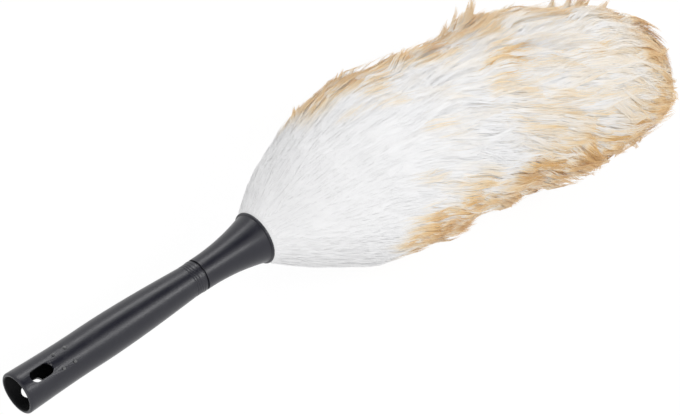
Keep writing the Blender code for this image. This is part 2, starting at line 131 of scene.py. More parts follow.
# Growth of the wool from the neck (0) to the tip (1): share along, then length in mm, lift in degrees,
# and how freely the locks vary
REACH_MM = ((0.0, 12.0), (0.10, 19.0), (0.24, 30.0), (0.42, 43.0), (0.75, 50.0), (1.0, 38.0))
LIFT_DEG = ((0.0, 5.0), (0.10, 6.0), (0.24, 8.5), (0.45, 12.0), (0.80, 16.0), (1.0, 26.0))
FREEDOM = ((0.0, 0.05), (0.14, 0.14), (0.30, 0.55), (0.45, 0.95), (1.0, 1.0))
# How far under the outline the strands start, and how far past it their tips may reach, in mm
DEPTH_MM = ((0.0, 0.5), (0.10, 1.2), (0.24, 2.4), (0.42, 5.0), (0.75, 6.4), (1.0, 7.0))
ROOM_MM = ((0.0, 0.1), (0.15, -0.3), (0.30, -2.2), (0.5, -3.8), (0.8, -4.2), (1.0, -6.0))
# How far short of the wool's tip the roots end
TIP_SETBACK = 7.0 * MM
# How much further in the tips stay along the head's lower edge, in mm, the degrees round between which
# that comes and goes, and the mm along between which it comes
EDGE_TUCK = 1.8
EDGE_TUCK_COMES = (45.0, 70.0)
EDGE_TUCK_GOES = (110.0, 140.0)
EDGE_TUCK_STARTS = (225.0, 260.0)
# A swell is full within the first share of its half width and gone at the second, and a degree round
# counts as this many mm
SWELL_FADE = (0.3, 1.4)
SWELL_MM_PER_DEG = 0.7
# Where a strand's tip and its seen part lie ahead of its root, as shares of its reach
TIP_AHEAD = 0.8
STAIN_AHEAD = 0.35
# How the comb turns from the head's line, in degrees: everywhere, in waves round the head, and at the
# tip. A wave has its size, its turns round the head, and in radians its shift along the head and its
# start. Then the shares along the head between which the first two come in, and between which the last
COMB_TURN = 9.0
COMB_WAVES = ((22.0, 1.0, 0.0, math.radians(30.0)), (7.0, 3.0, 17.0, 0.0), (6.0, 5.0, -26.0, 1.0))
COMB_END_TURN = 46.0
COMB_COMES = (0.12, 0.40)
COMB_END_COMES = (0.84, 1.0)
# The least radius that a turn of the comb is reckoned on
COMB_LEAST_R = 20.0 * MM

# Locks: strands gather in locks, and locks in tufts. Densities are roots to the square metre
STRAND_DENSITY = 485000.0
LOCK_DENSITY = 30000.0
TUFT_DENSITY = 3600.0
FIRST_ZONE_SEED = 23
TUFT_SEED = 7
# Points of a strand. Wool shorter than this has one less
STRAND_POINTS = 5
SHORT_WOOL = 26.0 * MM
STRAND_RADIUS = 0.40 * MM
STRAND_FLATNESS = 0.14
LOCK_GATHER = 0.50
TUFT_GATHER = 0.22
# How far the shading of a strand's outer side turns to the head's own surface, and how far a face must
# look outwards to be on that side
NORMAL_SOFTNESS = 0.90
OUTER_SIDE = 0.05
# A faint painted glow on the wool, standing in for the light that the fibres pass on among themselves, which
# opaque strands don't
WOOL_PAINTED_GLOW = 0.06
# Colours of the wool by its stain, and a strand's brightness: the least, and what its shade adds
WOOL_COLOURS = (
    (0.0, (0.925, 0.925, 0.93)),
    (0.22, (0.91, 0.83, 0.71)),
    (0.50, (0.89, 0.69, 0.41)),
    (0.80, (0.82, 0.54, 0.23)),
    (1.0, (0.68, 0.40, 0.13)),
)
WOOL_BRIGHTNESS = 0.94
WOOL_SHADE = 0.07
# A few stray locks reach further out, rise more and curl less. A higher rarity leaves fewer of them
STRAY_RARITY = 5.0
STRAY_ROOM = 6.0 * MM
STRAY_RISE = 0.35
STRAY_CURL = 0.9
# What varies from tuft to tuft, and again from lock to lock: least, most and seed of each. Turn and rise
# are in radians, room in metres, and length, curl and tone are shares
LOOSE_TRAITS = (
    ("turn", (-0.30, 0.30, 3), (-0.11, 0.11, 4)),
    ("rise", (-0.07, 0.12, 5), (-0.04, 0.05, 6)),
    ("room", (-0.0022, 0.0016, 13), (-0.0010, 0.0008, 14)),
    ("length", (-0.24, 0.22, 7), (-0.16, 0.12, 8)),
)
FREE_TRAITS = (
    ("curl", (-0.1, 0.9, 9), (-0.2, 0.3, 10)),
    ("tone", (-0.18, 0.12, 11), (-0.13, 0.13, 12)),
)
# The same for the strands, their shade and the straying of locks, then the seeds of where tufts and locks are
STRAND_LENGTH = (0.50, 1.10, 15)
STRAND_TURN = (-0.06, 0.06, 17)
STRAND_RISE = (-0.05, 0.06, 19)
STRAND_SHADE = (0.0, 1.0, 21)
STRAY_DRAW = (0.0, 1.0, 25)
TUFT_SCATTER_SEED = 5
LOCK_SCATTER_SEED = 11
# How strands close in on their lock, and locks on their tuft: later along the strand with a higher power
LOCK_CLOSING = 1.3
TUFT_CLOSING = 1.8
# Slow waves in the strands: waves to the metre, and swing as a share of the length
WAVE_SCALE = 42.0
WAVE_SWING = 0.30
# Share of what stands past the room that is pulled back in
HOLD = 0.92
# The tan starts and is full at these shares of a strand, and fades out in wool stained less than the
# third. The last is how much of its lock's own tone a strand takes
BLUSH_FROM = 0.08
BLUSH_FULL = 0.80
LEAST_STAIN = 0.25
TONE_SHARE = 0.9
# A strand's taper: its power, and the share of its length at which it would close
TAPER_POWER = 0.65
TAPER_END = 1.04
# What the finished strands no longer need
HELPERS = "flow reach lift freedom room gathered centre root to_lock lock_* own_*".split()
# Lower than anything in the scene, for the two directions in which nothing holds the wool up
FAR_BELOW = -10.0

# Where the locks' tips reach further out or stay further in: mm along, degrees round from the upper
# side, half width in mm, and how far out in mm
SWELLS = (
    (262, -82, 9, 1.5),
    (300, -80, 8, 1.5),
    (341, -80, 9, 3.0),
    (396, -66, 9, -2.5),
    (438, -70, 16, -6.5),
    (463, -50, 10, -10.0),
    (466, -76, 12, -9.0),
    (488, 30, 14, -6.0),
    (262, 84, 8, 2.0),
    (285, 80, 8, -2.0),
    (318, 82, 10, 2.0),
    (352, 80, 8, -2.0),
    (385, 76, 10, 2.0),
)

# Pointed tufts: mm along, degrees round from the upper side, turn from the head's line in degrees, length
# in mm, lift in degrees, half width in mm, and stain
TUFTS = (
    (188, -80, -4, 12, 16, 5, 0.55),
    (206, -76, 0, 13, 15, 5, 0.6),
    (228, -80, -6, 15, 16, 5, 0.65),
    (250, -74, 0, 15, 14, 5, 0.6),
    (275, -80, -4, 17, 16, 5, 0.65),
    (298, -76, 0, 17, 15, 5, 0.6),
    (328, -82, -6, 20, 26, 6, 0.7),
    (338, -78, -8, 24, 28, 6, 0.7),
    (347, -76, -4, 26, 27, 6, 0.65),
    (357, -82, -10, 22, 24, 6, 0.75),
    (382, -82, -12, 22, 35, 5, 0.6),
    (410, -66, -10, 18, 42, 5, 0.55),
    (423, -61, -10, 18, 44, 5, 0.6),
    (434, -57, -10, 19, 46, 6, 0.75),
    (443, -52, -8, 16, 46, 5, 0.6),
    (458, -30, -16, 16, 12, 6, 1),
    (470, -30, -6, 14, 27, 6, 0.85),
    (476, 10, 6, 14, 26, 6, 0.8),
    (468, 50, 16, 16, 26, 6, 0.85),
    (206, 68, 6, 13, 13, 5, 0.8),
    (226, 72, 8, 16, 15, 6, 0.95),
    (244, 76, 8, 17, 16, 6, 1),
    (268, 70, 6, 17, 14, 6, 0.9),
    (292, 76, 8, 19, 16, 6, 0.95),
    (314, 70, 10, 20, 16, 6, 1),
    (338, 74, 10, 20, 16, 6, 1),
    (364, 70, 12, 22, 16, 6, 1),
    (388, 72, 12, 20, 15, 6, 0.95),
    (416, 68, 14, 20, 15, 6, 0.9),
    (438, 66, 14, 19, 15, 6, 0.9),
    (310, -24, -12, 27, 5, 6, 0.8),
    (322, -14, 5, 21, 5, 5, 0.75),
    (360, -15, 8, 21, 9, 4, 0.55),
    (262, 165, 4, 19, 24, 6, 0.4),
    (300, 140, 6, 21, 24, 6, 0.5),
    (342, 205, -4, 21, 26, 6, 0.6),
    (384, 150, 6, 22, 26, 6, 0.7),
    (424, 185, 0, 22, 28, 6, 0.8),
    (252, 232, -6, 19, 24, 6, 0.5),
    (322, 246, -8, 22, 28, 6, 0.6),
    (398, 238, -6, 22, 28, 6, 0.7),
)
# What those tufts have in common: how far past the outline they may reach, how freely they vary, their
# densities, how they close in on their own middle and their locks, and the sides of their patches
TUFT_ROOM = 16.0 * MM
TUFT_FREEDOM = 0.7
TUFT_STRANDS = 900000.0
TUFT_LOCKS = 60000.0
TUFT_POINTING = 0.25
TUFT_LOCK_GATHER = 0.92
TUFT_SIDES = 8

# By mm along: degrees round from the upper side at which the edges' tan starts, and how strong the
# lower one is
UPPER_STAIN_FROM = ((170, -52), (195, -39), (220, -39), (245, -43), (380, -37), (460, -30))
LOWER_STAIN_FROM = ((200, 44), (225, 29), (260, 34), (320, 30), (400, 36), (460, 26))
LOWER_STAIN = ((184, 0), (210, 1.3), (240, 1.3), (262, 0.75), (300, 0.9), (322, 1.9), (395, 1.9), (430, 1.1))
# Tan streaks: from and to, each as mm along and degrees round from the upper side, then width in degrees
# and strength
STREAKS = (
    (313, -19, 338, -31, 6, 0.8),
    (320, -14, 336, -24, 5, 0.55),
    (358, -14, 392, -9, 4, 0.55),
    (311, -8, 367, 5, 3.5, 0.42),
    (316, 0, 393, 24, 3.5, 0.45),
    (314, 8, 401, 41, 4, 0.5),
    (302, 13, 365, 43, 4, 0.42),
    (326, 34, 361, 51, 5, 0.45),
    (217, 23, 243, 41, 7, 0.3),
    (238, -10, 250, 14, 5, 0.22),
    (200, -38, 239, -26, 6, 0.3),
)
# Waves in the borders of the tan, as size, rate and start: in degrees by mm along, and in mm by radians
EDGE_WAVES = ((9.0, 0.11, 1.3), (6.0, 0.37, 0.0))
RAGGED_WAVES = ((7.0, 7.0, 0.0), (5.0, 17.0, 0.0))
RAGGED_SETBACK = 4.0
# The upper tan: its strength, the degrees over which it comes in, the degrees round between which it
# starts at the back, and the mm along between which it starts
UPPER_STAIN = 0.80
UPPER_SOFT = 26.0
UPPER_BACK = (-150.0, -105.0)
UPPER_STARTS = (166.0, 200.0)
# The lower tan: the degrees over which it comes in, and those round between which it goes at the back
LOWER_SOFT = 34.0
LOWER_BACK = (115.0, 160.0)
# The tip's tan and the cream of all the wool and of its lower part: strength, and mm along between which
# each comes in, then the degrees round between which the lower one does
END_STAIN = 0.90
END_STARTS = (400.0, 465.0)
CREAM = 0.20
CREAM_STARTS = (150.0, 360.0)
LOWER_CREAM = 0.06
LOWER_CREAM_STARTS = (280.0, 340.0)
LOWER_CREAM_COMES = (5.0, 35.0)
# A streak is full within this share of its width, and a mm along counts as this many degrees round
STREAK_FULL = 0.35
STREAK_DEG_PER_MM = 0.5

# The undercoat's rear end, tucked into the neck's cup: how far behind the lip, and its share of the girth
UNDERCOAT_TUCK = 6.0 * MM
UNDERCOAT_NECK = 0.80


def smooth(low, high, value):
    """0 below low, 1 above high, and a soft step between."""
    t = np.clip((value - low) / (high - low), 0.0, 1.0)
    return t * t * (3.0 - 2.0 * t)


def follow(table, share):
    """Value of a table of (share, value) pairs at a share."""
    return np.interp(share, [at for at, _ in table], [value for _, value in table])


def waves(table, at):
    """Sum of waves, each with its size, its rate and its start."""
    return sum(size * np.sin(rate * at + start) for size, rate, start in table)


# Node trees


def place(tree, kind, wired=None, **settings):
    """A node with its settings, and values or sockets wired into its inputs."""
    node = tree.nodes.new(kind)
    for name, value in settings.items():
        setattr(node, name, value)
    for name, value in (wired or {}).items():
        socket = node.inputs[name]
        if isinstance(value, bpy.types.NodeSocket):
            tree.links.new(value, socket)
        else:
            socket.default_value = value
    return node


def reckon(tree, operation, *values, clamp=False):
    """The result of one sum on numbers or sockets."""
    node = place(tree, "ShaderNodeMath", dict(enumerate(values)), operation=operation)
    node.use_clamp = clamp
    return node.outputs[0]


def steer(tree, operation, *values):
    """The result of one sum on vectors."""
    node = place(tree, "ShaderNodeVectorMath", dict(enumerate(values)), operation=operation)
    return node.outputs["Value" if operation in ("DOT_PRODUCT", "LENGTH") else "Vector"]


def stretch(tree, vector, amount):
    """A vector times a number."""
    return place(tree, "ShaderNodeVectorMath", {0: vector, "Scale": amount}, operation="SCALE").outputs[0]


def ramp(tree, factor, stops):
    """Colours at places from 0 to 1."""
    node = place(tree, "ShaderNodeValToRGB", {0: factor})
    elements = node.color_ramp.elements
    while len(elements) < len(stops):
        elements.new(0.5)
    for element, (at, colour) in zip(elements, stops):
        element.position = at
        element.color = (*colour, 1.0)
    return node.outputs["Color"]


def new_group(name, kind, inputs, outputs):
    """An empty node group with named sockets."""
    tree = bpy.data.node_groups.new(name, kind)
    for label, socket_type, value in inputs:
        socket = tree.interface.new_socket(name=label, in_out="INPUT", socket_type=socket_type)
        if value is not None:
            socket.default_value = value
    for label, socket_type in outputs:
        tree.interface.new_socket(name=label, in_out="OUTPUT", socket_type=socket_type)
    return tree, tree.nodes.new("NodeGroupInput"), tree.nodes.new("NodeGroupOutput")


# Materials


def make_grain_group():
    """Fine moulded or brushed grain, with faint rubbed patches, as a height and a mask."""
    tree, given, result = new_group(
        "fine_grain",
        "ShaderNodeTree",
        [
            ("Grain Scale", "NodeSocketFloat", 1500.0),
            ("Rub Scale", "NodeSocketFloat", 60.0),
            ("Stretch", "NodeSocketVector", (1.0, 1.0, 1.0)),
        ],
        [("Height", "NodeSocketFloat"), ("Rub", "NodeSocketFloat")],
    )
    place_at = place(tree, "ShaderNodeTexCoord").outputs["Object"]
    drawn = steer(tree, "MULTIPLY", place_at, given.outputs["Stretch"])
    grain = place(tree, "ShaderNodeTexNoise", {"Vector": drawn, "Scale": given.outputs["Grain Scale"]})
    rub = place(
        tree,
        "ShaderNodeTexNoise",
        {"Vector": drawn, "Scale": given.outputs["Rub Scale"], "Detail": 6.0, "Roughness": 0.7},
    )
    soft_rub = place(
        tree, "ShaderNodeMapRange", {"Value": rub.outputs[0], "From Min": 0.42, "From Max": 0.68}
    )
    tree.links.new(grain.outputs[0], result.inputs["Height"])
    tree.links.new(soft_rub.outputs[0], result.inputs["Rub"])
    return tree


def new_material(name):
    """A new material, with its tree and its shader."""
    made = bpy.data.materials.new(name)
    made.use_nodes = True
    tree = made.node_tree
    return made, tree, tree.nodes["Principled BSDF"]


def grained_material(name, grain, colours, roughness, bump, metallic=0.0, **scales):
    """A surface with fine grain, whose colour and roughness shift in rubbed patches."""
    made, tree, shader = new_material(name)
    group = place(tree, "ShaderNodeGroup", node_tree=grain)
    for label, value in scales.items():
        group.inputs[label.replace("_", " ")].default_value = value
    colour = ramp(tree, group.outputs["Rub"], [(0.0, colours[0]), (1.0, colours[1])])
    tree.links.new(colour, shader.inputs["Base Color"])
    rough = place(
        tree,
        "ShaderNodeMapRange",
        {"Value": group.outputs["Rub"], "To Min": roughness[0], "To Max": roughness[1]},
    )
    tree.links.new(rough.outputs[0], shader.inputs["Roughness"])
    raised = place(
        tree,
        "ShaderNodeBump",
        {"Height": group.outputs["Height"], "Strength": bump[0], "Distance": bump[1]},
    )
    tree.links.new(raised.outputs[0], shader.inputs["Normal"])
    shader.inputs["Metallic"].default_value = metallic
    return made


def make_wool_material():
    """White wool that turns cream and then tan towards the tips of its stained locks."""
    made, tree, shader = new_material("combed_wool")
    stain = place(tree, "ShaderNodeAttribute", attribute_name="stain").outputs["Fac"]
    shade = place(tree, "ShaderNodeAttribute", attribute_name="shade").outputs["Fac"]
    colour = ramp(tree, stain, WOOL_COLOURS)
    brightness = reckon(tree, "MULTIPLY_ADD", shade, WOOL_SHADE, WOOL_BRIGHTNESS)
    darker = place(tree, "ShaderNodeHueSaturation", {"Color": colour, "Value": brightness})
    tree.links.new(darker.outputs[0], shader.inputs["Base Color"])
    shader.inputs["Roughness"].default_value = 0.55
    shader.inputs["Specular IOR Level"].default_value = 0.25
    # Painted glow: the wool gives off a little of its own colour, which lifts the shade between the strands
    shader.inputs["Emission Strength"].default_value = WOOL_PAINTED_GLOW
    tree.links.new(colour, shader.inputs["Emission Color"])
    shader.inputs["Sheen Weight"].default_value = 0.4
    shader.inputs["Sheen Roughness"].default_value = 0.6
    return made


def make_undercoat_material():
    """Dense white wool under the locks, streaked along the head."""
    made, tree, shader = new_material("wool_undercoat")
    place_at = place(tree, "ShaderNodeTexCoord").outputs["Object"]
    drawn = steer(tree, "MULTIPLY", place_at, (0.12, 1.0, 1.0))
    streak = place(tree, "ShaderNodeTexNoise", {"Vector": drawn, "Scale": 900.0, "Detail": 4.0})
    colour = ramp(tree, streak.outputs[0], [(0.3, (0.90, 0.90, 0.905)), (0.7, (0.93, 0.93, 0.935))])
    tree.links.new(colour, shader.inputs["Base Color"])
    raised = place(
        tree, "ShaderNodeBump", {"Height": streak.outputs[0], "Strength": 0.3, "Distance": 0.0005}
    )
    tree.links.new(raised.outputs[0], shader.inputs["Normal"])
    shader.inputs["Roughness"].default_value = 0.8
    shader.inputs["Sheen Weight"].default_value = 0.3
    return made


def make_finishes():
    """Every finish by name, with its two colours, its roughness, and its grain's strength and depth."""
    grain = make_grain_group()
    finishes = {"wool": make_wool_material(), "undercoat": make_undercoat_material()}
    finishes["black"] = grained_material(
        "black_moulding", grain, ((0.010, 0.0103, 0.018), (0.015, 0.0153, 0.023)), (0.30, 0.37), (0.2, 0.0002)
    )
    # The bore: rougher than the outside, and darker as painted shade inside the handle
    finishes["bore"] = grained_material(
        "moulded_bore", grain, ((0.006, 0.006, 0.007), (0.009, 0.009, 0.010)), (0.55, 0.65), (0.3, 0.0003)
    )
    bore_shader = finishes["bore"].node_tree.nodes["Principled BSDF"]
    bore_shader.inputs["Specular IOR Level"].default_value = BORE_GLOSS
    # Pips: far lighter than the handle, a painted highlight on the top of each pip
    finishes["pips"] = grained_material(
        "rubbed_pips", grain, ((0.10, 0.102, 0.106), (0.14, 0.142, 0.146)), (0.3, 0.4), (0.2, 0.0002)
    )
    finishes["rod"] = grained_material(
        "natural_rod", grain, ((0.74, 0.71, 0.64), (0.80, 0.78, 0.72)), (0.42, 0.55), (0.2, 0.0002)
    )
    finishes["steel"] = grained_material(
        "zinc_plate",
        grain,
        ((0.60, 0.60, 0.58), (0.68, 0.68, 0.66)),
        (0.28, 0.42),
        (0.15, 0.0001),
        metallic=1.0,
    )
    finishes["hide"] = grained_material(
        "sheepskin_hide",
        grain,
        ((0.74, 0.62, 0.47), (0.82, 0.72, 0.58)),
        (0.75, 0.9),
        (0.6, 0.0006),
        Grain_Scale=500.0,
    )
    return finishes


# Rigid pieces


def object_from(name, points, faces, finish):
    """A new object from points and faces, shaded smooth but for its corners."""
    mesh = bpy.data.meshes.new(name)
    mesh.from_pydata(points, [], faces)
    mesh.validate()
    mesh.shade_smooth()
    mesh.set_sharp_from_angle(angle=SHARP_ANGLE)
    mesh.materials.append(finish)
    made = bpy.data.objects.new(name, mesh)
    bpy.context.collection.objects.link(made)
    return made


def merged_mesh(node):
    """Points and triangles of a frame node, with its loose triangles joined."""
    joined = bmesh.new()
    joined.from_mesh(node.data)
    bmesh.ops.remove_doubles(joined, verts=joined.verts, dist=1e-6)
    bmesh.ops.triangulate(joined, faces=joined.faces)
    joined.verts.index_update()
    points = np.array([vertex.co for vertex in joined.verts], float)
    faces = np.array([[vertex.index for vertex in face.verts] for face in joined.faces], int)
    joined.free()
    return points, faces


def mid_points(points, pairs):
    """Middles of edges. An edge that spans one facet of a turned surface bulges out to its circle."""
    start, end = points[pairs[:, 0]], points[pairs[:, 1]]
    middle = (start + end) / 2
    radius = [np.hypot(side[:, 1], side[:, 2]) for side in (start, end)]
    angle = [np.arctan2(side[:, 2], side[:, 1]) for side in (start, end)]
    turn = (angle[1] - angle[0] + math.pi) % math.tau - math.pi
    round_edge = (np.abs(turn) < FACET_STEP) & (np.minimum(*radius) > 0.5 * np.maximum(*radius))
    mean_radius = (radius[0] + radius[1]) / 2
    mean_angle = angle[0] + turn / 2
    turned = (mean_radius * np.cos(mean_angle), mean_radius * np.sin(mean_angle))
    bulged = np.stack([middle[:, 0], *turned], 1)
    return np.where(round_edge[:, None], bulged, middle)


def lean_of(points):
    """How far the head's lean carries each point off the handle's axis."""
    start, end = head_span()
    return lean_at(points[:, 0], start, end)[:, None] * np.array(LEAN_SIDE)


def turned_finer(node, name, finish, leans=False):
    """A copy of a turned frame node with each facet split and laid on its true circle."""
    points, faces = merged_mesh(node)
    if leans:
        points -= lean_of(points)
    for _ in range(FINER_PASSES):
        sides = np.concatenate([faces[:, [0, 1]], faces[:, [1, 2]], faces[:, [2, 0]]])
        sides = np.sort(sides, axis=1)
        pairs, which = np.unique(sides, axis=0, return_inverse=True)
        a, b, c = which.reshape(3, -1) + len(points)
        points = np.concatenate([points, mid_points(points, pairs)])
        p, q, r = faces.T
        split = ((p, a, c), (a, q, b), (c, b, r), (a, b, c))
        faces = np.concatenate([np.stack(corners, 1) for corners in split])
    if leans:
        points += lean_of(points)
    return object_from(name, points.tolist(), faces.tolist(), finish)


def shade_the_bore(piece, finish):
    """Gives the faces that look in at the handle's own axis the rougher finish of a moulded bore, whose
    darker colour is painted shade inside the handle.
    """
    piece.data.materials.append(finish)
    for face in piece.data.polygons:
        centre, normal = face.center, face.normal
        if normal.y * centre.y + normal.z * centre.z < -BORE_TURN * math.hypot(centre.y, centre.z):
            face.material_index = 1


def make_pip(name, x, angle, body, finish):
    """A small round pip moulded on the handle, a dome on a short stem that sinks into the wall."""
    out = Vector((0.0, math.cos(angle), math.sin(angle)))
    hit = body.ray_cast(Vector((x, 0.0, 0.0)) + out * OUTSIDE_HANDLE, -out)[0]
    along, across = Vector((1.0, 0.0, 0.0)), out.cross(Vector((1.0, 0.0, 0.0)))
    rings = [(-PIP_RISE, 1.0)]
    rings += [(PIP_RISE * math.sin(turn), math.cos(turn)) for turn in np.radians(PIP_RINGS_DEG)]
    points = []
    for height, share in rings:
        for step in range(PIP_STEPS):
            turn = math.tau * step / PIP_STEPS
            flat = along * math.cos(turn) + across * math.sin(turn)
            points.append(tuple(hit + out * height + flat * (PIP_R * share)))
    faces = [tuple(range(PIP_STEPS - 1, -1, -1))]
    for row in range(len(rings) - 1):
        for step in range(PIP_STEPS):
            here, ahead = row * PIP_STEPS + step, row * PIP_STEPS + (step + 1) % PIP_STEPS
            faces.append((here, ahead, ahead + PIP_STEPS, here + PIP_STEPS))
    faces.append(tuple(range((len(rings) - 1) * PIP_STEPS, len(rings) * PIP_STEPS)))
    return object_from(name, points, faces, finish)


def make_pips(node, finish):
    """The four pips on the handle's upper side, two and two along it."""
    points, faces = merged_mesh(node)
    body = BVHTree.FromPolygons(points.tolist(), faces.tolist())
    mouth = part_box("grip_tube")[0].x
    pips = []
    for along in (-1, 1):
        for around in (-1, 1):
            x = mouth + PIP_AT + along * PIP_SPACING / 2
            angle = math.pi / 2 + around * PIP_ANGLE
            pips.append(make_pip(f"pip_{len(pips) + 1}", x, angle, body, finish))
    return pips


# Wool


def lean_at(x, start, end):
    """How far the head's centre line lies off the handle's axis."""
    t = np.clip((x - start) / (end - start), 0.0, 1.0)
    return TIP_LEAN * (3 * t**2 - 2 * t**3) + TIP_SLOPE * (end - start) * (t**3 - t**2)


def head_span():
    """Where the head's wool starts and ends along the handle's axis."""
    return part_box("flared_neck")[1].x + WOOL_GAP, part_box("fleece")[1].x


def stain_at(x_mm, psi):
    """How tan the tips are, at a place along the head and an angle from its upper side."""
    border = waves(EDGE_WAVES, x_mm)
    upper_from = follow(UPPER_STAIN_FROM, x_mm) + border
    upper = smooth(0.0, UPPER_SOFT, upper_from - psi) * smooth(*UPPER_BACK, psi)
    upper *= smooth(*UPPER_STARTS, x_mm)
    lower_from = follow(LOWER_STAIN_FROM, x_mm)
    lower = smooth(0.0, LOWER_SOFT, psi - lower_from - border) * (1.0 - smooth(*LOWER_BACK, psi))
    ragged = waves(RAGGED_WAVES, np.radians(psi)) - RAGGED_SETBACK
    lower *= follow(LOWER_STAIN, x_mm + ragged)
    end = smooth(*END_STARTS, x_mm + border)
    cream = CREAM * smooth(*CREAM_STARTS, x_mm)
    cream += LOWER_CREAM * smooth(*LOWER_CREAM_STARTS, x_mm) * smooth(*LOWER_CREAM_COMES, psi)
    stain = np.maximum.reduce([UPPER_STAIN * upper, lower, END_STAIN * end, cream])
    for x_from, psi_from, x_to, psi_to, width, depth in STREAKS:
        run = np.clip((x_mm - x_from) / (x_to - x_from), 0.0, 1.0)
        x_off = x_mm - (x_from + run * (x_to - x_from))
        psi_off = psi - (psi_from + run * (psi_to - psi_from))
        off = np.hypot(x_off * STREAK_DEG_PER_MM, psi_off)
        stain = np.maximum(stain, depth * (1.0 - smooth(STREAK_FULL * width, width, off)))
    return stain


def make_chart(frame):
    """Rows of root points under the wool's outline, with their share along the head and angle round it."""
    skin_points, skin_faces = merged_mesh(frame["nodes"]["fleece"])
    skin = BVHTree.FromPolygons(skin_points.tolist(), skin_faces.tolist())
    start, end = head_span()
    share = np.linspace(0.0, 1.0, CHART_ROWS) ** ROW_CROWDING
    share = np.sin(share * math.pi / 2) ** TIP_CROWDING
    share[-1] = LAST_ROW
    phi = np.arange(CHART_COLUMNS) * math.tau / CHART_COLUMNS
    around = np.stack([np.zeros_like(phi), np.cos(phi), np.sin(phi)], 1)
    depth = follow(DEPTH_MM, share) * MM
    roots = np.zeros((CHART_ROWS, CHART_COLUMNS, 3))
    for row, at in enumerate(share):
        x = start + (end - start) * at
        centre = Vector((x, 0.0, 0.0)) + LEAN_SIDE * float(lean_at(x, start, end))
        root_x = start + (end - start - TIP_SETBACK) * at
        root_centre = Vector((root_x, 0.0, 0.0)) + LEAN_SIDE * float(lean_at(root_x, start, end))
        for column, outward in enumerate(around):
            outward = Vector(outward)
            hit = skin.ray_cast(centre + outward * OUTSIDE_WOOL, -outward)[0]
            radius = (hit - centre).dot(outward) if hit else 2 * LEAST_ROOT_R
            root_radius = max(radius - depth[row], LEAST_ROOT_SHARE * radius, LEAST_ROOT_R)
            roots[row, column] = root_centre + outward * root_radius
    return {
        "roots": roots,
        "share": np.repeat(share[:, None], CHART_COLUMNS, 1),
        "phi": np.repeat(phi[None, :], CHART_ROWS, 0),
    }


def unit(vectors):
    """Vectors made 1 long."""
    return vectors / np.maximum(np.linalg.norm(vectors, axis=-1, keepdims=True), 1e-9)


def comb_chart(chart):
    """Adds to the chart the way the wool is combed, its length, its lift and its stain."""
    roots, share = chart["roots"], chart["share"]
    along = unit(np.gradient(roots, axis=0))
    wrapped = np.concatenate([roots[:, -1:], roots, roots[:, :1]], axis=1)
    across = unit(np.gradient(wrapped, axis=1)[:, 1:-1])
    outward = unit(np.cross(across, along))
    psi = (chart["phi"] - TOP_ANGLE + math.pi) % math.tau - math.pi
    strength = smooth(*COMB_COMES, share)
    swirl = np.radians(COMB_TURN) * strength
    for size, turns, shift, start in COMB_WAVES:
        swirl += np.radians(size) * strength * np.sin(turns * psi + shift * share + start)
    swirl += np.radians(COMB_END_TURN) * smooth(*COMB_END_COMES, share)
    reach = follow(REACH_MM, share) * MM
    lift = np.radians(follow(LIFT_DEG, share))
    radius = np.maximum(np.hypot(roots[..., 1], roots[..., 2]), COMB_LEAST_R)

    def ahead(share_of_reach):
        x = roots[..., 0] + share_of_reach * reach * np.cos(swirl)
        angle = np.degrees(psi + share_of_reach * reach * np.sin(swirl) / radius)
        return x / MM, (angle + 180.0) % 360.0 - 180.0

    chart["along"] = along
    chart["flow"] = along * np.cos(swirl)[..., None] + across * np.sin(swirl)[..., None]
    chart["outward"] = outward
    chart["reach"] = reach
    chart["lift"] = lift
    chart["freedom"] = follow(FREEDOM, share)
    chart["room"] = room_at(*ahead(TIP_AHEAD), share)
    chart["stain"] = stain_at(*ahead(STAIN_AHEAD))


def room_at(x_mm, psi, share):
    """How far past the outline the tips may reach, with the tufts that stand out."""
    room = follow(ROOM_MM, share)
    for x_swell, psi_swell, half_width, out in SWELLS:
        away = np.hypot(x_mm - x_swell, (psi - psi_swell) * SWELL_MM_PER_DEG)
        room = room + out * (1.0 - smooth(*[share * half_width for share in SWELL_FADE], away))
    tucked = smooth(*EDGE_TUCK_COMES, psi) * (1.0 - smooth(*EDGE_TUCK_GOES, psi))
    tucked = tucked * smooth(*EDGE_TUCK_STARTS, x_mm)
    return (room - EDGE_TUCK * tucked) * MM


def grid_faces(rows, columns):
    """Faces of a grid of points that closes round its columns."""
    faces = []
    for row in range(rows - 1):
        for column in range(columns):
            ahead = (column + 1) % columns
            here, above = row * columns, (row + 1) * columns
            faces.append((here + column, above + column, above + ahead, here + ahead))
    return faces


def make_guide(chart, name, first, last):
    """A patch of the chart as a mesh that carries its fields, for the locks to grow on."""
    rows = slice(first, last + 1)
    points = chart["roots"][rows].reshape(-1, 3)
    faces = grid_faces(last - first + 1, CHART_COLUMNS)
    mesh = bpy.data.meshes.new(name)
    mesh.from_pydata(points.tolist(), [], faces)
    for label in ("reach", "lift", "freedom", "room", "stain"):
        mesh.attributes.new(label, "FLOAT", "POINT").data.foreach_set("value", chart[label][rows].ravel())
    for label in ("flow", "outward"):
        values = np.ascontiguousarray(chart[label][rows].ravel())
        mesh.attributes.new(label, "FLOAT_VECTOR", "POINT").data.foreach_set("vector", values)
    guide = bpy.data.objects.new(name, mesh)
    bpy.context.collection.objects.link(guide)
    return guide


